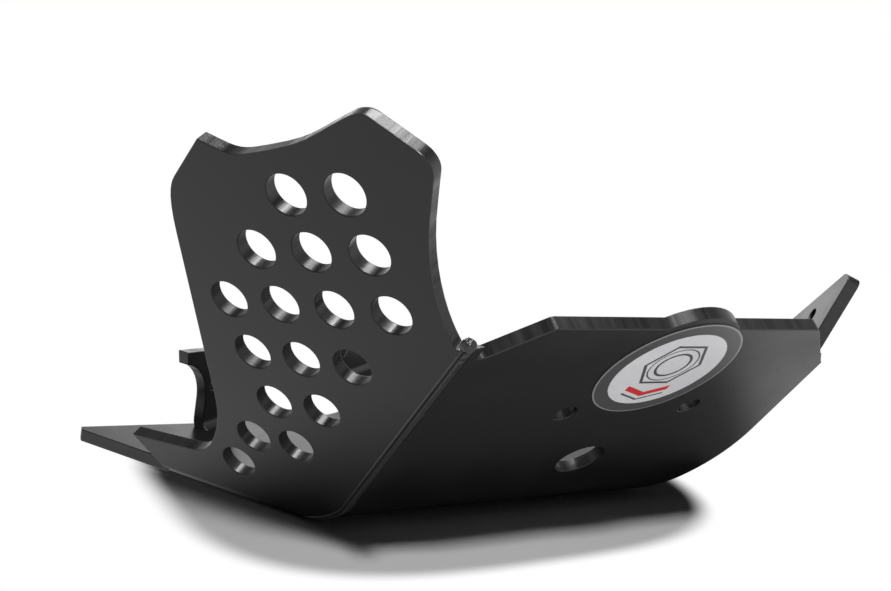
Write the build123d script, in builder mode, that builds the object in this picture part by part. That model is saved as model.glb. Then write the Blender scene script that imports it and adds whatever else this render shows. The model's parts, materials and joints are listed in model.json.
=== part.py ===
"""Motorcycle skid plate: one thick plastic sheet, cut, folded and welded, with a weld bead and a round badge.

Frame: +X to the bike's left, +Y to the rear, +Z up, origin under the drain hole, at the underside of the pan.
"""
import os
from math import atan2, cos, hypot, radians, sin, tan

from build123d import *

# Sheet and folds, in millimetres and degrees
sheet = 8.0
front_lean = 62.0
front_bend = 9.0
wing_slope = 50.0
wing_flare = 33.0
wing_bend = 62.0
rear_slope = 72.5
rear_toe = 18.4
rear_bend = 104.0

# The corner is where the outer faces of front, wing and pan would meet if the folds were sharp
corner_x = 40.0
corner_y = -150.0

# Front panel: places across from the corner, and up along the panel
front_left = -64.0
front_right = 82.0
lobe_left_top = 249.0
lobe_right_top = 280.0
lobe_right_peak = 52.0
peak_half = 5.0
seam_top = 165.0
seam_lip = 9.0
chin_end = -139.0
chin_height = 25.0
chin_foot = -118.0
side_top = 184.0
waist_height = 84.0
vent_bore = 22.0
vent_rows = [
    (8.0, 231.0, 32.0, 7.0),
    (-15.0, 195.0, 32.3, 6.4),
    (-38.5, 158.0, 32.2, 5.8),
    (-30.0, 125.5, 31.0, 4.6),
    (-22.0, 92.5, 31.0, 4.3),
    (-41.5, 59.5, 29.0, 3.0),
    (-57.0, 33.0, 29.0, 3.0),
]
vent_counts = [2, 3, 4, 3, 2, 2, 1]

# Points of the front panel's curves, each measured from a corner named where it is used
right_edge = [(1.0, 25.0), (-1.0, 58.0)]
right_corner = (3.5, -24.0)
shoulder_foot = (-3.0, -12.5)
peak_drop = (0.5, 1.5)
hollow_points = [(84.0, 12.0), (58.0, 1.5), (44.0, -1.7)]
left_corner = (26.0, 2.5)
slant_foot = (7.0, -21.5)
sweep_points = [(-9.0, 21.0), (-28.0, 5.0)]

# Left wing: distance along its fold from the corner, height up the wing
wing_top = 210.0
wing_nose = 2.0
nose_rise = 19.0
wing_front = 30.0
wing_back = 222.0
wing_back_rise = 3.0
wing_end = 263.0
wing_end_top = 177.0
wing_length = 298.5
wing_round = 5.0
badge_along = 134.0
badge_up = 172.5
badge_radius = 44.5
badge_rim = 4.6
badge_thickness = 0.6
tab_rise = 10.5
tab_shift = -3.0
wing_bolt_bore = 14.0
wing_bolts = [(93.0, 127.0), (187.5, 130.5)]
window_bore = 32.0
window_place = (146.0, 68.0)

# Rear facet: distance along its fold from the wing's end, height up the facet
lug_front = -98.0
lug_top = 197.0
lug_tip = 12.0
lug_bore = 8.5
lug_bolt = (-71.0, 163.5)
facet_back = 80.0
facet_height = 48.0

# Pan: places from the corner, across and to the rear
ear_tip = -193.0
ear_nose = 4.0
ear_back = 71.0
pan_back = 360.0
drain_bore = 26.0

# Right flank: a side folded upright, cut through by a bay into a hook in front and a low wall behind
flank_x = -147.0
flank_slope = 90.0
flank_bend = 14.0
hook_front = 36.0
hook_back = 104.0
hook_top = 67.0
hook_drop = 7.0
hook_lip = 9.0
lip_slant = 2.0
notch_rear = 62.0
notch_height = 28.0
notch_bulge = 20.0
notch_bow = 7.0
hook_bore = 9.0
hook_bolt = (70.0, 39.0)
bay_back = 256.0
bay_depth = 52.0
wall_top = 40.0

# Weld bead along the seam between front and wing
bead_radius = 2.6
bead_inset = 1.0
bead_curl = 28.0
bead_overrun = 3.0
blob_radius = 4.4

corner = Vector(corner_x, corner_y, 0)
rearward = Vector(sin(radians(wing_flare)), cos(radians(wing_flare)), 0)
outward = Vector(cos(radians(wing_flare)), -sin(radians(wing_flare)), 0)
rear_along = Vector(-sin(radians(rear_toe)), cos(radians(rear_toe)), 0)
rear_outward = Vector(cos(radians(rear_toe)), sin(radians(rear_toe)), 0)
wing_end_foot = corner + rearward * wing_length
down = Vector(0, 0, -1)
far = 2.5 * wing_length
strip = sheet
cut_depth = 3 * sheet


def face_plane(foot, along, away, slope):
    """Outer face of a leaning panel: x runs along its fold, y up the panel."""
    normal = away * sin(radians(slope)) + down * cos(radians(slope))
    return Plane(foot, x_dir=along, z_dir=normal)


front_away = Vector(0, -1, 0)
front_plane = face_plane(corner, Vector(1, 0, 0), front_away, front_lean)
wing_plane = face_plane(corner, rearward, outward, wing_slope)
rear_plane = face_plane(wing_end_foot, rear_along, rear_outward, rear_slope)
front_fold = (Plane(corner, x_dir=-front_away, z_dir=(1, 0, 0)), front_lean, front_bend)
wing_fold = (Plane(corner, x_dir=-outward, z_dir=rearward), wing_slope, wing_bend)
rear_fold = (Plane(wing_end_foot, x_dir=-rear_outward, z_dir=rear_along), rear_slope, rear_bend)
flank_foot = corner + Vector(flank_x, 0)
flank_fold = (Plane(flank_foot, x_dir=(1, 0, 0), z_dir=(0, -1, 0)), flank_slope, flank_bend)


def bend_length(slope, bend):
    """Distance from a sharp fold to where the round fold meets the flat."""
    return bend * tan(radians(slope / 2))


def hull(side, slope, bend, inset=0, reach=far):
    """The room inside a fold: flat floor, round fold and leaning wall, set in by a distance."""
    start = inset * tan(radians(slope / 2))
    with BuildPart() as body:
        with BuildSketch(side):
            with BuildLine():
                Polyline(
                    (start, inset),
                    (reach, inset),
                    (reach, far),
                    (start - (far - inset) / tan(radians(slope)), far),
                    close=True,
                )
            make_face()
        extrude(amount=far, both=True)
        fold = body.edges().filter_by(Axis(side.origin, side.z_dir)).sort_by_distance(
            side.from_local_coords((start, inset, 0))
        )[0]
        fillet(fold, bend - inset)
    return body.part


def folded_sheet(side, slope, bend):
    """A sheet of even thickness: the leaning wall, its round fold and a strip of floor."""
    with BuildPart() as body:
        add(hull(side, slope, bend, reach=bend_length(slope, bend) + strip))
        add(hull(side, slope, bend, inset=sheet), mode=Mode.SUBTRACT)
    return body.part


# Front panel: two lobes, a hollow between them, a waist and a chin that runs out to the right
seam_end = Vector(front_right, seam_top)
right_lobe = Vector(front_right, lobe_right_top)
left_lobe = Vector(front_left, lobe_left_top)
with BuildPart() as front:
    add(folded_sheet(*front_fold))
    add(hull(*wing_fold), mode=Mode.INTERSECT)
    with BuildSketch(front_plane):
        with BuildLine():
            foot = Polyline(
                (chin_end, chin_height),
                (chin_foot, 0),
                (chin_foot, -far),
                (far, -far),
                (far, seam_top),
                (front_right + seam_lip, seam_top),
            )
            right_side = Spline(
                foot @ 1,
                *[seam_end + shift for shift in right_edge],
                right_lobe + right_corner,
                tangents=[(-0.5, 1), (0.15, 1)],
            )
            lobe_corner = Spline(
                right_side @ 1, right_lobe + shoulder_foot, tangents=[right_side % 1, (-0.87, 0.5)]
            )
            shoulder = Line(
                lobe_corner @ 1, (lobe_right_peak + peak_half, lobe_right_top - peak_drop[0])
            )
            peak = Spline(
                shoulder @ 1,
                (lobe_right_peak - peak_half, lobe_right_top - peak_drop[1]),
                tangents=[shoulder % 1, (-0.85, -0.5)],
            )
            hollow = Spline(
                peak @ 1,
                *[left_lobe + shift for shift in hollow_points],
                left_lobe + left_corner,
                tangents=[peak % 1, (-1, 0.25)],
            )
            slant = Line(hollow @ 1, left_lobe + slant_foot)
            left_bend = Spline(slant @ 1, (front_left, side_top), tangents=[slant % 1, (0, -1)])
            left_side = Line(left_bend @ 1, (front_left, waist_height))
            sweep_out = Spline(
                left_side @ 1,
                *[Vector(front_left, chin_height) + shift for shift in sweep_points],
                tangents=[left_side % 1, (-1, -0.12)],
            )
            Line(sweep_out @ 1, foot @ 0)
        make_face()
    extrude(amount=far, both=True, mode=Mode.INTERSECT)
    with BuildSketch(front_plane):
        for (start_x, start_y, step, climb), count in zip(vent_rows, vent_counts):
            with Locations(*[(start_x + i * step, start_y + i * climb) for i in range(count)]):
                Circle(vent_bore / 2)
    extrude(amount=-cut_depth, mode=Mode.SUBTRACT)

# Left wing: sloping front corner, long top edge with a round tab behind the badge, cut rear corner
with BuildPart() as wing:
    add(folded_sheet(*wing_fold))
    add(hull(*front_fold), mode=Mode.INTERSECT)
    add(hull(*rear_fold), mode=Mode.INTERSECT)
    with BuildSketch(wing_plane):
        with BuildLine():
            FilletPolyline(
                (-far, -far),
                (-far, seam_top + nose_rise),
                (wing_nose, seam_top + nose_rise),
                (wing_front, wing_top),
                (wing_back, wing_top + wing_back_rise),
                (wing_end, wing_end_top),
                (far, wing_end_top),
                (far, -far),
                radius=wing_round,
                close=True,
            )
        make_face()
        with Locations((badge_along + tab_shift, badge_up + tab_rise)):
            Circle(badge_radius + badge_rim - tab_rise)
    extrude(amount=far, both=True, mode=Mode.INTERSECT)
    with BuildSketch(wing_plane):
        with Locations(*wing_bolts):
            Circle(wing_bolt_bore / 2)
        with Locations(window_place):
            Circle(window_bore / 2)
    extrude(amount=-cut_depth, mode=Mode.SUBTRACT)

# Rear facet: turns in behind the wing and rises to a bolt lug
with BuildPart() as rear:
    add(folded_sheet(*rear_fold))
    add(hull(*wing_fold), mode=Mode.INTERSECT)
    with BuildSketch(rear_plane):
        with BuildLine():
            FilletPolyline(
                (lug_front, -far),
                (lug_front, lug_top),
                (lug_front + lug_tip, lug_top),
                (facet_back, facet_height),
                (far, facet_height),
                (far, -far),
                radius=wing_round,
                close=True,
            )
        make_face()
        with Locations((lug_front - far / 2, wing_end_top / 2 - far / 2)):
            Rectangle(far, far)
        with Locations(lug_bolt):
            Circle(lug_bore / 2, mode=Mode.SUBTRACT)
    extrude(amount=far, both=True, mode=Mode.INTERSECT)
    with BuildSketch(Plane(corner)):
        with Locations((0, pan_back - far)):
            Rectangle(2 * far, 2 * far)
    extrude(amount=far, both=True, mode=Mode.INTERSECT)

# Right flank, seen from the side: a hook with a round notch, then the bay, then a low wall
with BuildPart() as flank:
    add(folded_sheet(*flank_fold))
    with BuildSketch(Plane(corner, x_dir=(0, 1, 0), z_dir=(1, 0, 0))):
        with BuildLine():
            hook = Polyline(
                (notch_rear, notch_height),
                (notch_rear, -far),
                (hook_back, -far),
                (hook_back, hook_top - hook_drop),
                (hook_front, hook_top),
                (hook_front + lip_slant, hook_top - hook_lip),
            )
            ThreePointArc(hook @ 1, (notch_rear - notch_bow, notch_height + notch_bulge), hook @ 0)
        make_face()
        with Locations(hook_bolt):
            Circle(hook_bore / 2, mode=Mode.SUBTRACT)
        with BuildLine():
            Polyline(
                (bay_back, -far),
                (bay_back, wall_top - flank_bend),
                (bay_back + flank_bend, wall_top),
                (pan_back, wall_top),
                (pan_back, -far),
                close=True,
            )
        make_face()
    extrude(amount=far, both=True, mode=Mode.INTERSECT)

# The pan closes the floor between the folds; an ear reaches out at the front right, ahead of the bay
front_line = bend_length(front_lean, front_bend) + strip / 2
wing_line = bend_length(wing_slope, wing_bend) + strip / 2
rear_line = bend_length(rear_slope, rear_bend) + strip / 2
flank_line = flank_x + bend_length(flank_slope, flank_bend) + strip / 2
across = Vector(1, 0)


def meet(point_a, along_a, point_b, along_b):
    """Where two lines on the floor cross."""
    gap = point_b - point_a
    steps = (gap.X * along_b.Y - gap.Y * along_b.X) / (along_a.X * along_b.Y - along_a.Y * along_b.X)
    place = point_a + along_a * steps
    return place.X, place.Y


wing_start = outward * -wing_line
rear_start = rearward * wing_length - rear_outward * rear_line
with BuildPart() as plate:
    with BuildSketch(Plane(corner)):
        with BuildLine():
            edge = Polyline(
                (flank_line, hook_back),
                (flank_line, ear_back),
                (flank_x, ear_back),
                (ear_tip, ear_nose),
                (ear_tip + ear_nose, 0),
                (chin_foot, 0),
                (chin_foot, front_line),
                meet(Vector(0, front_line), across, wing_start, rearward),
                meet(wing_start, rearward, rear_start, rear_along),
                meet(rear_start, rear_along, Vector(0, pan_back), across),
                (flank_line, pan_back),
                (flank_line, bay_back),
            )
            ThreePointArc(edge @ 1, (flank_x + bay_depth, (hook_back + bay_back) / 2), edge @ 0)
        make_face()
    extrude(amount=sheet)
    add(front.part)
    add(wing.part)
    add(rear.part)
    add(flank.part)
    with BuildSketch(Plane.XY):
        Circle(drain_bore / 2)
    extrude(amount=sheet, mode=Mode.SUBTRACT)
plate.part.label = "plate"

# Weld bead: a round rod down the seam, curling in with the fold, with a blob where the welder stopped
seam_lean = (1 / tan(radians(wing_slope)) - sin(radians(wing_flare)) / tan(radians(front_lean))) / cos(
    radians(wing_flare)
)
seam_rise = 1 / sin(radians(front_lean))
bead_top = seam_top + bead_overrun
bend_rise = bend_length(wing_slope, wing_bend) * sin(radians(wing_slope))
seam_angle = atan2(seam_rise, seam_lean)
bead_turn = bend_rise * hypot(seam_lean, seam_rise) / tan(seam_angle / 2)
with BuildPart() as weld_bead:
    with BuildLine(front_plane.offset(-bead_inset)) as route:
        run = Line(
            (bead_top * seam_lean / seam_rise, bead_top), (bend_rise * seam_lean, bend_rise * seam_rise)
        )
        JernArc(run @ 1, run % 1, bead_turn, -bead_curl)
    with BuildSketch(Plane(route.line @ 0, z_dir=route.line % 0)):
        Circle(bead_radius)
    sweep(path=route.line)
    with Locations(route.line @ 0):
        Sphere(blob_radius)
    add(plate.part, mode=Mode.SUBTRACT)
weld_bead.part.label = "weld_bead"

# Badge: a thin round disc stuck to the wing
with BuildPart() as badge:
    with BuildSketch(wing_plane):
        with Locations((badge_along, badge_up)):
            Circle(badge_radius)
    extrude(amount=badge_thickness)
badge.part.label = "badge"

os.makedirs("parts", exist_ok=True)
for piece in (plate, weld_bead, badge):
    export_step(piece.part, f"parts/{piece.part.label}.step")
    print(piece.part.label, round(piece.part.volume), piece.part.bounding_box(), len(piece.part.solids()))
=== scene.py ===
import json
from math import atan2, cos, radians, sin, sqrt, tan

import bmesh
import bpy
import numpy as np
from mathutils import Matrix, Vector

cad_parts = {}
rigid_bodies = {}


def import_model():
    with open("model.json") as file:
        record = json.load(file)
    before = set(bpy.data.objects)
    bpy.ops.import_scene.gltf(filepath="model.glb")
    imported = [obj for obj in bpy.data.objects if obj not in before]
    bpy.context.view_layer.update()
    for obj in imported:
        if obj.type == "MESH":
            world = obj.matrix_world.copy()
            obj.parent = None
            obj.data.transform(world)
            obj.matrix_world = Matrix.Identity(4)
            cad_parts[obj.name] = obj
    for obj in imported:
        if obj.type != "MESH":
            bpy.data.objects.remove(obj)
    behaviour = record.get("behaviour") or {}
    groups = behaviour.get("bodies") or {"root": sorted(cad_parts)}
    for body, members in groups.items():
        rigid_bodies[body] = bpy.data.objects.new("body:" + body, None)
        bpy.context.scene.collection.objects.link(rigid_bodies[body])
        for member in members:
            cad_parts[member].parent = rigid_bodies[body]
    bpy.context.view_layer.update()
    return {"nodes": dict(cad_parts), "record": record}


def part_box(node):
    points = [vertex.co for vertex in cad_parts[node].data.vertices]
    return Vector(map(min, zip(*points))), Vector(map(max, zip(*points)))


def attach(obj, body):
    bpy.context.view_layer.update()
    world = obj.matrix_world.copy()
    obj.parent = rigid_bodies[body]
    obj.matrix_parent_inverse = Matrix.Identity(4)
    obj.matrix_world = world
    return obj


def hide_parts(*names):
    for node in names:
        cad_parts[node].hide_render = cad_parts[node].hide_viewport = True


for leftover in list(bpy.data.objects):  # Blender's own start-up cube, lamp and camera
    bpy.data.objects.remove(leftover)
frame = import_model()
scene = bpy.context.scene
print("frame loaded:", ", ".join(sorted(frame["nodes"])))


# Small tools for surfaces

def unit(vector):  # the same way, one long
    vector = np.asarray(vector, float)
    return vector / np.linalg.norm(vector, axis=-1, keepdims=True)


def ramp(values, low, high):  # 0 below low, 1 above high, a smooth S between
    share = np.clip((values - low) / (high - low), 0, 1)
    return share * share * (3 - 2 * share)


def softNoise(shape, step, seed):  # random values on a coarse grid, blended to the full one along both ways
    dice = np.random.default_rng(seed)
    coarse = dice.uniform(-1, 1, (shape[0] // step[0] + 3, shape[1] // step[1] + 3))
    rowAt, colAt = np.arange(shape[0]) / step[0], np.arange(shape[1]) / step[1]
    row, col = rowAt.astype(int), colAt.astype(int)
    down, over = ramp(rowAt - row, 0, 1)[:, None], ramp(colAt - col, 0, 1)[None, :]
    upper = coarse[np.ix_(row, col)] * (1 - over) + coarse[np.ix_(row, col + 1)] * over
    lower = coarse[np.ix_(row + 1, col)] * (1 - over) + coarse[np.ix_(row + 1, col + 1)] * over
    return upper * (1 - down) + lower * down


def quadGrid(rows, cols, loop=False):  # faces of a grid of points; loop joins the last column to the first
    last = cols if loop else cols - 1
    row, col = np.meshgrid(np.arange(rows - 1), np.arange(last), indexing="ij")
    after = (col + 1) % cols
    here, there = row * cols, (row + 1) * cols
    return np.stack([here + col, here + after, there + after, there + col], -1).reshape(-1, 4)


def closedFaces(rows, cols):  # a grid that runs round, with one many-sided face at each end
    sides = quadGrid(rows, cols, True)[:, ::-1].tolist()
    return [*sides, list(range(cols)), list(range(rows * cols - 1, (rows - 1) * cols - 1, -1))]


def surfaceObject(name, points, faces, materials, faceMaterial=None, uv=None):
    mesh = bpy.data.meshes.new(name)
    mesh.from_pydata(points.reshape(-1, 3).tolist(), [], [list(face) for face in faces])
    for material in materials:
        mesh.materials.append(material)
    if faceMaterial is not None:
        mesh.polygons.foreach_set("material_index", np.asarray(faceMaterial, np.int32))
    if uv is not None:
        corners = np.zeros(len(mesh.loops), np.int32)
        mesh.loops.foreach_get("vertex_index", corners)
        mesh.uv_layers.new(name="print").data.foreach_set("uv", uv[corners].astype(np.float32).ravel())
    mesh.validate()
    mesh.shade_smooth()
    piece = bpy.data.objects.new(name, mesh)
    scene.collection.objects.link(piece)
    return piece


# Small tools for nodes

def addNode(tree, kind, settings=None, inputs=None):  # properties are set, sockets are filled or linked
    node = tree.nodes.new(kind)
    for key, value in (settings or {}).items():
        setattr(node, key, value)
    for key, value in (inputs or {}).items():
        if isinstance(value, bpy.types.NodeSocket):
            tree.links.new(value, node.inputs[key])
        else:
            node.inputs[key].default_value = value
    return node


def calc(tree, operation, *values):  # a Math node; values are sockets or numbers
    node = addNode(tree, "ShaderNodeMath", {"operation": operation}, dict(enumerate(values)))
    return node.outputs[0]


def remap(tree, value, fromLow, fromHigh, toLow, toHigh, smooth=False):
    settings = {"interpolation_type": "SMOOTHSTEP" if smooth else "LINEAR", "clamp": True}
    sockets = {"Value": value, "From Min": fromLow, "From Max": fromHigh, "To Min": toLow, "To Max": toHigh}
    return addNode(tree, "ShaderNodeMapRange", settings, sockets).outputs["Result"]


def noise(tree, place, scale, detail, roughness=0.5):
    sockets = {"Vector": place, "Scale": scale, "Detail": detail, "Roughness": roughness}
    return addNode(tree, "ShaderNodeTexNoise", None, sockets).outputs["Fac"]


def tint(tree, mask, low, high):  # from colour low to colour high by a mask
    node = addNode(tree, "ShaderNodeMix", {"data_type": "RGBA"}, {"Factor": mask})
    for socket, value in ((node.inputs[6], low), (node.inputs[7], high)):
        if isinstance(value, bpy.types.NodeSocket):
            tree.links.new(value, socket)
        else:
            socket.default_value = (*value, 1)
    return node.outputs[2]


def newGroup(name, inputs, outputs):  # an empty shader node group with named sockets
    group = bpy.data.node_groups.new(name, "ShaderNodeTree")
    for socket, kind in inputs.items():
        group.interface.new_socket(socket, in_out="INPUT", socket_type=kind)
    for socket in outputs:
        group.interface.new_socket(socket, in_out="OUTPUT", socket_type="NodeSocketFloat")
    source = group.nodes.new("NodeGroupInput")
    target = group.nodes.new("NodeGroupOutput")
    return group, source.outputs, target.inputs


def useGroup(tree, group, inputs):
    return addNode(tree, "ShaderNodeGroup", {"node_tree": group}, inputs).outputs


def newMaterial(name):  # a material, its nodes, its Principled BSDF and its texture coordinates
    material = bpy.data.materials.new(name)
    material.use_nodes = True
    tree = material.node_tree
    place = addNode(tree, "ShaderNodeTexCoord").outputs
    return material, tree, tree.nodes["Principled BSDF"], place


def feed(tree, shader, values):  # links each value to the shader's socket of that name
    for socket, value in values.items():
        tree.links.new(value, shader.inputs[socket])


def setBump(tree, shader, height, distance, strength):
    sockets = {"Height": height, "Distance": distance, "Strength": strength}
    feed(tree, shader, {"Normal": addNode(tree, "ShaderNodeBump", None, sockets).outputs["Normal"]})


# Effects that more than one finish uses

grainLook = {
    "detail": 3.0,
    "roughness": 0.6,
    "cloudShare": 0.02,  # the cloud's scale as a share of the grain's
    "cloudDetail": 4.0,
    "cloudSpan": (0.3, 0.7),
}
scuffLook = {
    "sets": (((0.3, 0.5, 0.2), (260, 9, 70)), ((1.1, -0.4, 0.9), (7, 210, 60))),  # turn and stretch of each
    "detail": 2.0,
    "span": (0.66, 0.74),  # bare below the first level of noise, a full line above the second
}
sawLook = {
    "detail": 2.5,
    "roughness": 0.65,
    "smearShare": 0.22,  # the smears' scale as a share of the streaks'
    "smearDetail": 2.0,
    "smearSpan": (0.35, 0.65),
}


def makeGrain():  # fine orange peel of extruded sheet, and slow cloudy change of gloss
    inputs = {"Place": "NodeSocketVector", "Scale": "NodeSocketFloat"}
    group, given, result = newGroup("sheetGrain", inputs, ["Height", "Cloud"])
    fine = noise(group, given["Place"], given["Scale"], grainLook["detail"], grainLook["roughness"])
    slow = calc(group, "MULTIPLY", given["Scale"], grainLook["cloudShare"])
    cloud = noise(group, given["Place"], slow, grainLook["cloudDetail"])
    group.links.new(fine, result["Height"])
    group.links.new(remap(group, cloud, *grainLook["cloudSpan"], 0, 1), result["Cloud"])
    return group


def makeScuffs():  # sparse thin lines of handling, two sets that cross
    inputs = {"Place": "NodeSocketVector", "Amount": "NodeSocketFloat"}
    group, given, result = newGroup("handlingScuffs", inputs, ["Lines"])
    sets = []
    for turn, stretch in scuffLook["sets"]:
        sockets = {"Vector": given["Place"], "Rotation": turn, "Scale": stretch}
        mapping = addNode(group, "ShaderNodeMapping", None, sockets)
        streak = noise(group, mapping.outputs[0], 1.0, scuffLook["detail"])
        sets.append(remap(group, streak, *scuffLook["span"], 0, 1, True))
    lines = calc(group, "MAXIMUM", *sets)
    group.links.new(calc(group, "MULTIPLY", lines, given["Amount"]), result["Lines"])
    return group


def makeSawMarks():  # fine streaks left by the cutter, and wider smears of gloss
    inputs = {"Place": "NodeSocketVector", "Scale": "NodeSocketFloat"}
    group, given, result = newGroup("sawMarks", inputs, ["Streaks", "Smear"])
    streak = noise(group, given["Place"], given["Scale"], sawLook["detail"], sawLook["roughness"])
    wide = calc(group, "MULTIPLY", given["Scale"], sawLook["smearShare"])
    smear = noise(group, given["Place"], wide, sawLook["smearDetail"])
    group.links.new(streak, result["Streaks"])
    group.links.new(remap(group, smear, *sawLook["smearSpan"], 0, 1), result["Smear"])
    return group


grain = makeGrain()
scuffs = makeScuffs()
sawMarks = makeSawMarks()
print("shared effects made")


# Folded sheet: the CAD solid with broken edges, a satin face finish and a sawn finish on every cut wall

sheetLook = {
    "thickness": 0.008,
    "frontFoot": -0.150,  # where the front's outer face would meet the floor
    "frontLean": 62.0,
    "mergeGap": 0.0003,  # points nearer than this become one, so the edge break doesn't fold over itself
    "flatAngle": 0.1,  # faces that differ by less become one
    "sharpAngle": 28.0,
    "edgeBreak": 0.0006,
    "breakSteps": 3,
    "flatWeight": 100,  # how strongly large faces keep their own shading beside a broken edge
    "wallSlack": 0.0001,
    "wallTilt": 0.15,  # a face this square to its panel is a cut wall
    "faceDark": (0.0036, 0.0036, 0.0038),
    "faceLight": (0.0062, 0.0062, 0.0065),
    "faceGloss": (0.31, 0.40),
    "faceSpecular": 0.37,
    "faceGrain": 1100.0,
    "faceBump": (0.00003, 0.5),
    "scuffAmount": 0.35,
    "scuffGloss": 0.12,
    "scuffDepth": 0.5,
    "cutDark": (0.0050, 0.0050, 0.0053),
    "cutLight": (0.0130, 0.0130, 0.0136),
    "cutGloss": (0.24, 0.46),
    "cutScale": 750.0,
    "cutStretch": 0.06,  # through the sheet the noise changes at this share of its rate along it
    "cutSmear": 0.8,
    "cutBump": (0.00009, 0.6),
}
mounts = {mount["name"]: mount for mount in frame["record"]["mounts"]}


def outerFace(boltHole):  # a point on the outer face of a bolt hole's panel, and the normal there
    normal = unit(mounts[boltHole]["axis"])
    return np.array(mounts[boltHole]["pos_m"]) + normal * sheetLook["thickness"] / 2, normal


upright = np.array([0, 0, 1.0])
wingPoint, wingNormal = outerFace("wing_bolt_front")
wingAlong = unit(np.cross(upright, wingNormal))
wingUp = np.cross(wingNormal, wingAlong)
wingOutward = np.cross(wingAlong, upright)
frontPoint = np.array([0, sheetLook["frontFoot"], 0])
frontNormal = np.array([0, -sin(radians(sheetLook["frontLean"])), -cos(radians(sheetLook["frontLean"]))])
panels = {  # where they share a wall, the later panel's marks are used
    "pan": (np.zeros(3), -upright),
    "flank": outerFace("hook_bolt"),
    "front": (frontPoint, frontNormal),
    "wing": (wingPoint, wingNormal),
    "rear": outerFace("lug_bolt"),
}


def sheetFinish():
    material, tree, shader, place = newMaterial("satinBlackSheet")
    skin = useGroup(tree, grain, {"Place": place["Object"], "Scale": sheetLook["faceGrain"]})
    lines = useGroup(tree, scuffs, {"Place": place["Object"], "Amount": sheetLook["scuffAmount"]})["Lines"]
    gloss = remap(tree, skin["Cloud"], 0, 1, *sheetLook["faceGloss"])
    feed(tree, shader, {
        "Base Color": tint(tree, skin["Cloud"], sheetLook["faceDark"], sheetLook["faceLight"]),
        "Roughness": calc(tree, "ADD", gloss, calc(tree, "MULTIPLY", lines, sheetLook["scuffGloss"])),
    })
    height = calc(tree, "SUBTRACT", skin["Height"], calc(tree, "MULTIPLY", lines, sheetLook["scuffDepth"]))
    setBump(tree, shader, height, *sheetLook["faceBump"])
    shader.inputs["Specular IOR Level"].default_value = sheetLook["faceSpecular"]
    return material


def cutFinish(name, normal):  # streaks run along the panel's normal, so the noise hardly changes that way
    material, tree, shader, place = newMaterial("sawn" + name.capitalize())
    turn = Vector(normal).rotation_difference(Vector((0, 0, 1))).to_euler()
    turned = addNode(tree, "ShaderNodeMapping", None, {"Vector": place["Object"], "Rotation": turn})
    stretch = (1, 1, sheetLook["cutStretch"])
    flat = addNode(tree, "ShaderNodeMapping", None, {"Vector": turned.outputs[0], "Scale": stretch})
    marks = useGroup(tree, sawMarks, {"Place": flat.outputs[0], "Scale": sheetLook["cutScale"]})
    feed(tree, shader, {
        "Base Color": tint(tree, marks["Streaks"], sheetLook["cutDark"], sheetLook["cutLight"]),
        "Roughness": remap(tree, marks["Smear"], 0, 1, *sheetLook["cutGloss"]),
    })
    smear = calc(tree, "MULTIPLY", marks["Smear"], sheetLook["cutSmear"])
    setBump(tree, shader, calc(tree, "ADD", marks["Streaks"], smear), *sheetLook["cutBump"])
    return material


def sheetMesh():  # a copy of the CAD solid with flat faces joined and only its outside edges to be broken
    solid = bmesh.new()
    solid.from_mesh(frame["nodes"]["plate"].data)
    flat, sharp = radians(sheetLook["flatAngle"]), radians(sheetLook["sharpAngle"])
    bmesh.ops.remove_doubles(solid, verts=solid.verts, dist=sheetLook["mergeGap"])
    bmesh.ops.dissolve_limit(solid, angle_limit=flat, verts=solid.verts, edges=solid.edges)
    broken = solid.edges.layers.float.new("bevel_weight_edge")
    for edge in solid.edges:
        edge[broken] = float(edge.is_manifold and edge.calc_face_angle_signed() > sharp)
    mesh = bpy.data.meshes.new("foldedSheet")
    solid.to_mesh(mesh)
    solid.free()
    return mesh


def finishFaces(mesh):  # satin, and saw marks where a face is square to a panel and inside its sheet
    count = len(mesh.polygons)
    centres, normals = np.zeros(count * 3), np.zeros(count * 3)
    mesh.polygons.foreach_get("center", centres)
    mesh.polygons.foreach_get("normal", normals)
    centres, normals = centres.reshape(-1, 3), normals.reshape(-1, 3)
    slots = np.zeros(count, np.int32)
    slack = sheetLook["wallSlack"]
    mesh.materials.append(sheetFinish())
    for name, (point, normal) in panels.items():
        mesh.materials.append(cutFinish(name, normal))
        depth = (point - centres) @ normal
        inSheet = (depth > -slack) & (depth < sheetLook["thickness"] + slack)
        slots[inSheet & (np.abs(normals @ normal) < sheetLook["wallTilt"])] = len(mesh.materials) - 1
    mesh.polygons.foreach_set("material_index", slots)
    print("sheet:", count, "faces,", int((slots > 0).sum()), "of them cut walls")


def buildPlate():
    mesh = sheetMesh()
    finishFaces(mesh)
    mesh.shade_smooth()
    mesh.set_sharp_from_angle(angle=radians(sheetLook["sharpAngle"]))
    piece = bpy.data.objects.new("foldedSheet", mesh)
    scene.collection.objects.link(piece)
    bevel = piece.modifiers.new("edgeBreak", "BEVEL")
    bevel.width = sheetLook["edgeBreak"]
    bevel.segments = sheetLook["breakSteps"]
    bevel.limit_method = "WEIGHT"
    bevel.use_clamp_overlap = False
    shading = piece.modifiers.new("flatFaces", "WEIGHTED_NORMAL")
    shading.keep_sharp = True
    shading.weight = sheetLook["flatWeight"]
    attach(piece, "root")
    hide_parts("plate")
    return piece


# Weld along the seam of front and wing: a lip, a gap coloured near black as painted shade and a flat bead
# beside it, with smears at the top

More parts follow.
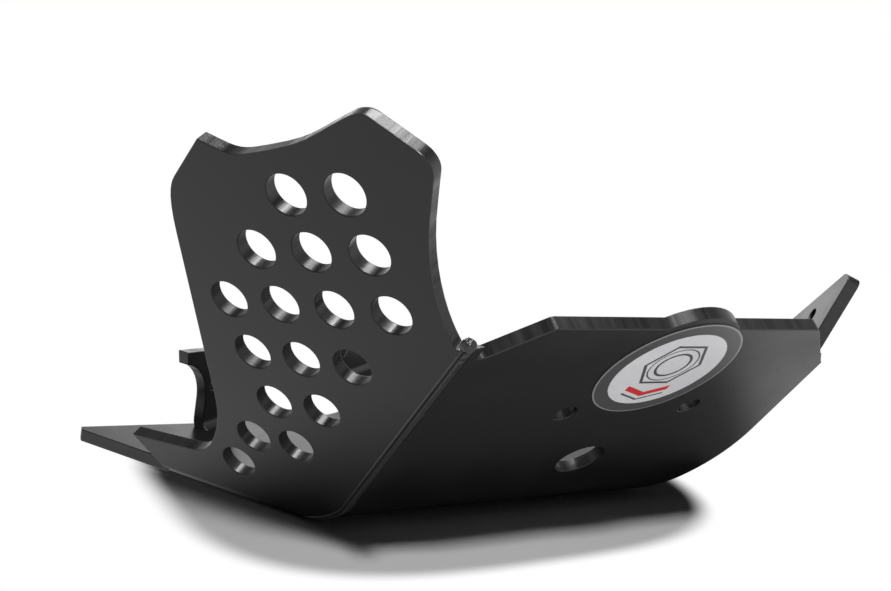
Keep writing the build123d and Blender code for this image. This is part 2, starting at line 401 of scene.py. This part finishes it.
beadLook = {  # across and height are the profile in mm: from the seam, wing side positive, and off the faces
    "wingBend": 0.062,
    "frontBend": 0.009,
    "foot": 0.0016,  # height of the seam's lower end
    "lowest": 0.0002,  # the bead stays above the floor
    "steps": 420,
    "across": (-1.7, -1.4, -1.0, -0.6, -0.3, 0.9, 1.2, 1.8, 2.7, 3.7, 4.6, 5.2, 5.7, 6.1),
    "height": (-0.4, 0.1, 0.36, 0.22, 0.03, 0.03, 0.34, 0.66, 0.82, 0.74, 0.5, 0.2, 0.02, -0.4),
    "turnHalf": 0.0005,  # the normal goes from the front's to the wing's within this of the seam
    "ripplePitch": 0.0031,
    "rippleHeight": 0.00005,
    "rippleLag": 122500.0,  # ripples trail with the square of the distance across
    "unevenHeight": 0.00012,
    "unevenStep": (14, 3),
    "unevenSeed": 5,
    "smearLength": 0.020,
    "smearEnd": 0.002,
    "smearHeight": 0.0011,
    "smearStep": (5, 2),
    "smearSeed": 9,
    "gapColumn": 4,
    "edgeColumn": 11,  # a second gap, at the bead's far edge, comes and goes; it carries the same painted shade
    "edgeStep": 40,
    "edgeSeed": 3,
    "edgeGrows": (0.05, 0.13),
    "edgeGain": (-0.3, 1.2),
    "weldDark": (0.008, 0.008, 0.0085),
    "weldLight": (0.020, 0.020, 0.021),
    "weldGloss": (0.20, 0.36),
    "weldGrain": 420.0,
    "weldBump": (0.0001, 0.6),
    # painted shade: the gap faces are coloured near black in place of the shadow in the shallow groove
    "gapShadeDark": (0.0005, 0.0005, 0.0005),
    "gapShadeLight": (0.003, 0.003, 0.003),
    "gapGrain": 600.0,
    "gapRoughness": 0.9,
    "gapSpecular": 0.05,
}


def weldFinish():
    material, tree, shader, place = newMaterial("meltedWeld")
    skin = useGroup(tree, grain, {"Place": place["Object"], "Scale": beadLook["weldGrain"]})
    feed(tree, shader, {
        "Base Color": tint(tree, skin["Cloud"], beadLook["weldDark"], beadLook["weldLight"]),
        "Roughness": remap(tree, skin["Cloud"], 0, 1, *beadLook["weldGloss"]),
    })
    setBump(tree, shader, skin["Height"], *beadLook["weldBump"])
    return material


# painted shade: a near-black colour on the gap faces stands in for the groove's shadow
def gapShadeFinish():
    material, tree, shader, place = newMaterial("paintedSeamShade")
    skin = useGroup(tree, grain, {"Place": place["Object"], "Scale": beadLook["gapGrain"]})
    feed(tree, shader, {"Base Color": tint(tree, skin["Cloud"], beadLook["gapShadeDark"], beadLook["gapShadeLight"])})
    shader.inputs["Roughness"].default_value = beadLook["gapRoughness"]
    shader.inputs["Specular IOR Level"].default_value = beadLook["gapSpecular"]
    return material


def foldSection(height, slope, bend):  # how far a round fold lies inside its sharp fold, and its turn
    turn = np.arccos(np.clip(1 - height / bend, cos(slope), 1))
    rise = np.maximum(height - bend * (1 - cos(slope)), 0)
    return bend * (tan(slope / 2) - np.sin(turn)) - rise / tan(slope), turn


def seamLine(height):  # by height, where the wing's fold meets the front's, and the normal of each there
    foot = wingPoint - wingUp * wingPoint[2] / wingUp[2]
    wingIn, wingTurn = foldSection(height, np.arccos(-wingNormal[2]), beadLook["wingBend"])
    frontIn, frontTurn = foldSection(height, radians(sheetLook["frontLean"]), beadLook["frontBend"])
    start = foot - wingOutward * wingIn[:, None] + upright * height[:, None]
    run = (sheetLook["frontFoot"] + frontIn - start[:, 1]) / wingAlong[1]
    forward = np.array([0, -1.0, 0])
    wingSide = wingOutward * np.sin(wingTurn)[:, None] - upright * np.cos(wingTurn)[:, None]
    frontSide = forward * np.sin(frontTurn)[:, None] - upright * np.cos(frontTurn)[:, None]
    return start + wingAlong * run[:, None], wingSide, frontSide


def beadLift(length, across):  # off the faces: the profile + sin(ripples) + uneven filler + smears at the top
    profile = np.array(beadLook["height"]) / 1000
    lift = np.broadcast_to(profile, (len(length), len(across)))
    raised = np.clip(lift / lift.max(), 0, 1)
    lag = across[None, :] ** 2 * beadLook["rippleLag"]
    phase = 2 * np.pi * length[:, None] / beadLook["ripplePitch"] - lag
    uneven = softNoise(lift.shape, beadLook["unevenStep"], beadLook["unevenSeed"])
    smear = softNoise(lift.shape, beadLook["smearStep"], beadLook["smearSeed"])
    top = ramp(length, length[-1] - beadLook["smearLength"], length[-1] - beadLook["smearEnd"])[:, None]
    lift = lift + raised * beadLook["rippleHeight"] * np.sin(phase)
    lift = lift + raised * beadLook["unevenHeight"] * uneven
    return lift + raised * top * beadLook["smearHeight"] * smear


def gapShadeFaces(length, columns):  # 1 on the gap faces, which get the painted shade
    rows = len(length) - 1
    slots = np.zeros((rows, columns), np.int32)
    slots[:, beadLook["gapColumn"]] = 1
    base, gain = beadLook["edgeGain"]
    patchy = softNoise((rows, 1), (beadLook["edgeStep"], 1), beadLook["edgeSeed"])[:, 0]
    patchy = patchy + ramp(length[:-1], *beadLook["edgeGrows"]) * gain + base
    slots[patchy > 0, beadLook["edgeColumn"]] = 1
    return slots.ravel()


def buildBead():  # a profile over front and wing, carried up the seam; also gives the seam's upper end
    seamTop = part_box("weld_bead")[1].z - blobLook["radius"]
    height = np.linspace(beadLook["foot"], seamTop, beadLook["steps"])
    seam, wingSide, frontSide = seamLine(height)
    tangent = unit(np.gradient(seam, axis=0))
    toWing = unit(np.cross(wingSide, tangent))
    toWing = toWing * np.sign(np.sum(toWing * wingAlong, 1, keepdims=True))
    toFront = unit(np.cross(frontSide, tangent))
    toFront = toFront * np.sign(-toFront[:, :1])
    across = np.array(beadLook["across"]) / 1000
    length = np.concatenate([[0], np.cumsum(np.linalg.norm(np.diff(seam, axis=0), axis=1))])
    onFront = seam[:, None] + toFront[:, None] * -np.minimum(across, 0)[None, :, None]
    points = onFront + toWing[:, None] * np.maximum(across, 0)[None, :, None]
    share = ramp(across, -beadLook["turnHalf"], beadLook["turnHalf"])[None, :, None]
    away = unit(frontSide[:, None] * (1 - share) + wingSide[:, None] * share)
    points = points + away * beadLift(length, across)[:, :, None]
    points[..., 2] = np.maximum(points[..., 2], beadLook["lowest"])
    faces = quadGrid(len(height), len(across))[:, ::-1]
    slots = gapShadeFaces(length, len(across) - 1)
    bead = surfaceObject("weldBead", points, faces, [weldFinish(), gapShadeFinish()], slots)
    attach(bead, "root")
    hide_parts("weld_bead")
    print("weld: length mm", round(length[-1] * 1000, 1))
    return bead, seam[-1]


# Blob where the weld stops

blobLook = {
    "radius": 0.0044,
    "rows": 26,
    "columns": 40,
    "poleGap": 0.04,
    "sink": 0.001,
    "broadLump": 0.07,
    "fineLump": 0.05,
}


def buildBlob(place, material):  # a ball by turn and drop; two waves swell its radius
    around = np.linspace(0, 2 * np.pi, blobLook["columns"], endpoint=False)[None, :]
    down = np.linspace(blobLook["poleGap"], np.pi - blobLook["poleGap"], blobLook["rows"])[:, None]
    broad = blobLook["broadLump"] * np.sin(3 * around + 1) * np.sin(2 * down)
    lumps = 1 + broad + blobLook["fineLump"] * np.cos(5 * around + 4 * down)
    radius = blobLook["radius"] * (lumps / lumps.max())
    x, y = radius * np.sin(down) * np.cos(around), radius * np.sin(down) * np.sin(around)
    ball = np.stack([x, y, radius * np.cos(down)], -1)
    points = place - frontNormal * blobLook["sink"] + ball
    blob = surfaceObject("weldBlob", points, closedFaces(blobLook["rows"], blobLook["columns"]), [material])
    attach(blob, "root")
    print("weld blob made")
    return blob


# Badge: a round film with a dark ring, a pale field, a line-drawn nut and a red chevron

badgeLook = {  # the print and the rim's steps across are shares of the badge's radius
    "film": 0.0006,
    "rings": 24,
    "spokes": 128,
    "flatSpan": (0.02, 0.985),
    "rimAcross": (0.994, 0.999, 1.0, 1.0),
    "rimLift": (0.97, 0.75, 0.5, 0.02),  # shares of the film's thickness
    "field": 0.79,
    "outline": (0.984, 0.006),  # of each line, where its middle is and half its width
    "nutRise": 0.12,
    "nutEdge": (0.40, 0.016),
    "nutFace": (0.345, 0.005),
    "nutBore": (0.24, 0.014),
    "chevron": (-0.56, 0.045),
    "underline": (-0.69, 0.012),
    "chevronSlope": -0.42,
    "chevronReach": 0.36,
    "lineSoft": 0.012,
    "edgeSoft": 0.006,
    "paper": (0.60, 0.60, 0.61),
    "paperShade": (0.50, 0.50, 0.515),
    "ringGrey": (0.046, 0.046, 0.048),
    "lineGrey": (0.055, 0.055, 0.058),
    "outlineGrey": (0.18, 0.18, 0.19),
    "red": (0.50, 0.018, 0.025),
    "gloss": (0.28, 0.38),
    "grain": 800.0,
    "bump": (0.00002, 0.4),
}


def badgeFinish():
    material, tree, shader, place = newMaterial("printedFilm")
    sockets = {"Vector": place["UV"], "Location": (-1, -1, 0), "Scale": (2, 2, 1)}  # -1 to 1 over the film
    flat = addNode(tree, "ShaderNodeMapping", None, sockets).outputs[0]
    part = addNode(tree, "ShaderNodeSeparateXYZ", None, {"Vector": flat}).outputs
    radius = addNode(tree, "ShaderNodeVectorMath", {"operation": "LENGTH"}, {0: flat}).outputs["Value"]

    def line(value, name):  # 1 within a line's half width of its middle, soft over a little
        middle, half = badgeLook[name]
        off = calc(tree, "ABSOLUTE", calc(tree, "SUBTRACT", value, middle))
        return remap(tree, off, half, half + badgeLook["lineSoft"], 1, 0, True)

    def below(value, limit):
        return remap(tree, value, limit - badgeLook["edgeSoft"], limit + badgeLook["edgeSoft"], 1, 0, True)

    x, y = part["X"], calc(tree, "SUBTRACT", part["Y"], badgeLook["nutRise"])
    sideX, sideY = calc(tree, "ABSOLUTE", x), calc(tree, "ABSOLUTE", y)
    slant = calc(tree, "ADD", calc(tree, "MULTIPLY", sideX, sqrt(3) / 2), calc(tree, "MULTIPLY", sideY, 0.5))
    hexagon = calc(tree, "MAXIMUM", slant, sideY)
    fromNut = calc(tree, "SQRT", calc(tree, "ADD", calc(tree, "POWER", x, 2.0), calc(tree, "POWER", y, 2.0)))
    bend = calc(tree, "ADD", part["Y"], calc(tree, "MULTIPLY", sideX, badgeLook["chevronSlope"]))
    reach = below(sideX, badgeLook["chevronReach"])
    ink = calc(tree, "MAXIMUM", line(hexagon, "nutEdge"), line(fromNut, "nutBore"))
    ink = calc(tree, "MAXIMUM", ink, line(fromNut, "nutFace"))
    ink = calc(tree, "MAXIMUM", ink, calc(tree, "MULTIPLY", line(bend, "underline"), reach))
    chevron = calc(tree, "MULTIPLY", line(bend, "chevron"), reach)
    skin = useGroup(tree, grain, {"Place": place["Object"], "Scale": badgeLook["grain"]})
    colour = tint(tree, skin["Cloud"], badgeLook["paper"], badgeLook["paperShade"])
    colour = tint(tree, ink, colour, badgeLook["lineGrey"])
    colour = tint(tree, chevron, colour, badgeLook["red"])
    colour = tint(tree, below(radius, badgeLook["field"]), badgeLook["ringGrey"], colour)
    colour = tint(tree, line(radius, "outline"), colour, badgeLook["outlineGrey"])
    feed(tree, shader, {
        "Base Color": colour,
        "Roughness": remap(tree, skin["Cloud"], 0, 1, *badgeLook["gloss"]),
    })
    setBump(tree, shader, skin["Height"], *badgeLook["bump"])
    return material


def buildBadge():  # a disc: radius by angle, flat on top, rolled down at the rim
    low, high = (np.array(corner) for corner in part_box("badge"))
    film, rings = badgeLook["film"], badgeLook["rings"]
    size = ((high - low)[2] / 2 - film / 2 * abs(wingNormal[2])) / sqrt(1 - wingNormal[2] ** 2)
    middle = (low + high) / 2 - wingNormal * film / 2
    across = np.concatenate([np.linspace(*badgeLook["flatSpan"], rings), badgeLook["rimAcross"]])
    lift = np.concatenate([np.full(rings, 1.0), badgeLook["rimLift"]]) * film
    angle = np.linspace(0, 2 * np.pi, badgeLook["spokes"], endpoint=False)
    x, y = across[:, None] * np.cos(angle), across[:, None] * np.sin(angle)
    onWing = middle + size * (x[..., None] * wingAlong + y[..., None] * wingUp)
    points = onWing + lift[:, None, None] * wingNormal
    uv = np.stack([x.ravel() / 2 + 0.5, y.ravel() / 2 + 0.5], -1)
    faces = closedFaces(len(across), badgeLook["spokes"])
    badge = surfaceObject("badgeFilm", points, faces, [badgeFinish()], None, uv)
    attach(badge, "root")
    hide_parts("badge")
    print("badge: radius mm", round(size * 1000, 2))
    return badge


plate = buildPlate()
bead, beadTop = buildBead()
blob = buildBlob(beadTop, bead.data.materials[0])
badge = buildBadge()


# Floor: pale, keeps the shadow inside an oval, is white beyond it and clear from below

floorLook = {
    "radius": 8.0,
    "innerRadius": 0.02,
    "rings": 24,
    "spokes": 64,
    "drop": 0.0004,
    "colour": 0.95,
    "mirror": 0.34,  # its colour in reflections
    "seenOval": {"middle": (0.0523, -0.0208), "reach": (0.130, 0.195), "edge": (0.94, 1.06)},
    "mirrorOval": {"middle": (0.080, 0.021), "reach": (0.190, 0.185), "edge": (1.00, 1.35)},
    "ovalPower": 3.0,
}


def outsideOval(tree, place, oval):  # 0 inside |x|^3 + |y|^3 = 1 in the wing's own directions, 1 outside
    sockets = {
        "Vector": place,
        "Location": (*oval["middle"], 0),
        "Rotation": (0, 0, atan2(wingOutward[1], wingOutward[0])),
        "Scale": (*oval["reach"], 1),
    }
    turned = addNode(tree, "ShaderNodeMapping", {"vector_type": "TEXTURE"}, sockets)
    part = addNode(tree, "ShaderNodeSeparateXYZ", None, {"Vector": turned.outputs[0]}).outputs
    power = floorLook["ovalPower"]
    cubes = [calc(tree, "POWER", calc(tree, "ABSOLUTE", part[axis]), power) for axis in ("X", "Y")]
    return remap(tree, calc(tree, "POWER", calc(tree, "ADD", *cubes), 1 / power), *oval["edge"], 0, 1, True)


def floorFinish():
    material, tree, shader, place = newMaterial("paleFloor")
    tree.nodes.remove(shader)
    light = addNode(tree, "ShaderNodeLightPath").outputs
    mirror = calc(tree, "MAXIMUM", light["Is Glossy Ray"], light["Is Transmission Ray"])
    bare, dull = (floorLook["colour"],) * 3, (floorLook["mirror"],) * 3
    diffuse = addNode(tree, "ShaderNodeBsdfDiffuse", None, {"Color": tint(tree, mirror, bare, dull)})
    glow = addNode(tree, "ShaderNodeEmission", None, {"Strength": 1.0})
    seen = outsideOval(tree, place["Object"], floorLook["seenOval"])
    mirrored = outsideOval(tree, place["Object"], floorLook["mirrorOval"])
    direct = calc(tree, "MULTIPLY", seen, light["Is Camera Ray"])
    white = calc(tree, "MAXIMUM", direct, calc(tree, "MULTIPLY", mirrored, mirror))
    upper = addNode(tree, "ShaderNodeMixShader", None, {0: white, 1: diffuse.outputs[0], 2: glow.outputs[0]})
    under = addNode(tree, "ShaderNodeNewGeometry").outputs["Backfacing"]
    clear = addNode(tree, "ShaderNodeBsdfTransparent")
    oneWay = addNode(tree, "ShaderNodeMixShader", None, {0: under, 1: upper.outputs[0], 2: clear.outputs[0]})
    tree.links.new(oneWay.outputs[0], tree.nodes["Material Output"].inputs["Surface"])
    return material


def buildFloor():  # a flat round disc, rings by spokes
    rings, spokes = floorLook["rings"], floorLook["spokes"]
    radii = np.geomspace(floorLook["innerRadius"], floorLook["radius"], rings)[:, None]
    angle = np.linspace(0, 2 * np.pi, spokes, endpoint=False)
    drop = np.full((rings, spokes), -floorLook["drop"])
    points = np.stack([radii * np.cos(angle), radii * np.sin(angle), drop], -1)
    faces = [*quadGrid(rings, spokes, True)[:, ::-1].tolist(), list(range(spokes))]
    floor = surfaceObject("floor", points, faces, [floorFinish()])
    print("floor made")


# Studio light: a dome for reflections, a small key lamp, a fill for the part alone and two cards

worldLook = {"ambient": 0.006, "domeLow": 0.85, "domeHigh": 0.16, "domeSpan": (0.35, 0.7)}
lampAim = (0.10, -0.08, 0.04)
lampLook = {  # a card shows only in reflections; onPart leaves the floor alone and isn't reflected
    "key": {"place": (0.656, -0.724, 1.30), "size": (0.12, 0.12), "power": 10.5},
    "fill": {"place": (1.00, -0.85, 0.25), "size": (0.6, 0.4), "power": 13.0, "onPart": True},
    "topCard": {"place": (0.08, 0.06, 1.20), "size": (0.42, 0.7), "power": 13.0, "card": True},
    "rimCard": {"place": (-0.55, 0.95, 0.45), "size": (0.7, 0.7), "power": 2.0, "card": True},
}


def buildWorld():  # white to the camera, a pale band that dims overhead to reflections, faint to the rest
    world = bpy.data.worlds.new("studio")
    world.use_nodes = True
    scene.world = world
    tree = world.node_tree
    light = addNode(tree, "ShaderNodeLightPath").outputs
    way = addNode(tree, "ShaderNodeTexCoord").outputs["Generated"]
    rise = addNode(tree, "ShaderNodeSeparateXYZ", None, {"Vector": way}).outputs["Z"]
    dome = remap(tree, rise, *worldLook["domeSpan"], worldLook["domeLow"], worldLook["domeHigh"], True)
    mirror = calc(tree, "MAXIMUM", light["Is Glossy Ray"], light["Is Transmission Ray"])
    level = addNode(tree, "ShaderNodeMix", None, {"Factor": mirror, "A": worldLook["ambient"], "B": dome})
    sockets = {"Factor": light["Is Camera Ray"], "A": level.outputs["Result"], "B": 1.0}
    level = addNode(tree, "ShaderNodeMix", None, sockets)
    background = tree.nodes["Background"]
    feed(tree, background, {"Strength": level.outputs["Result"]})
    background.inputs["Color"].default_value = (1, 1, 1, 1)


def addSoftbox(name, look, partPieces):
    lamp = bpy.data.lights.new(name, "AREA")
    lamp.shape = "RECTANGLE"
    lamp.size, lamp.size_y = look["size"]
    lamp.energy = look["power"]
    holder = bpy.data.objects.new(name, lamp)
    holder.location = look["place"]
    holder.rotation_euler = (Vector(lampAim) - holder.location).to_track_quat("-Z", "Y").to_euler()
    holder.visible_diffuse = not look.get("card", False)
    if look.get("onPart"):
        holder.light_linking.receiver_collection = partPieces
        holder.visible_glossy = False
    scene.collection.objects.link(holder)


def buildLamps():
    partPieces = bpy.data.collections.new("partPieces")
    for piece in (plate, bead, blob, badge):
        partPieces.objects.link(piece)
    for name, look in lampLook.items():
        addSoftbox(name, look, partPieces)
    print("lamps:", ", ".join(lampLook))


buildFloor()
buildWorld()
buildLamps()


# Camera at the photograph's angle

cameraLook = {
    "place": (0.3110, -0.6841, 0.2662),
    "turn": 22.51,
    "dip": 11.03,
    "roll": 9.42,
    "lens": 43.64,
    "sensor": 36.0,
    "nearest": 0.01,
}


def placeCamera():
    lens = bpy.data.cameras.new("camera")
    lens.lens = cameraLook["lens"]
    lens.sensor_width = cameraLook["sensor"]
    lens.clip_start = cameraLook["nearest"]
    holder = bpy.data.objects.new("camera", lens)
    turn = Matrix.Rotation(radians(cameraLook["turn"]), 4, "Z")
    dip = Matrix.Rotation(radians(90 - cameraLook["dip"]), 4, "X")
    roll = Matrix.Rotation(radians(cameraLook["roll"]), 4, "Z")
    holder.matrix_world = Matrix.Translation(cameraLook["place"]) @ turn @ dip @ roll
    scene.collection.objects.link(holder)
    scene.camera = holder
    print("camera placed")


placeCamera()
scene.view_settings.view_transform = "Standard"
bpy.context.view_layer.update()
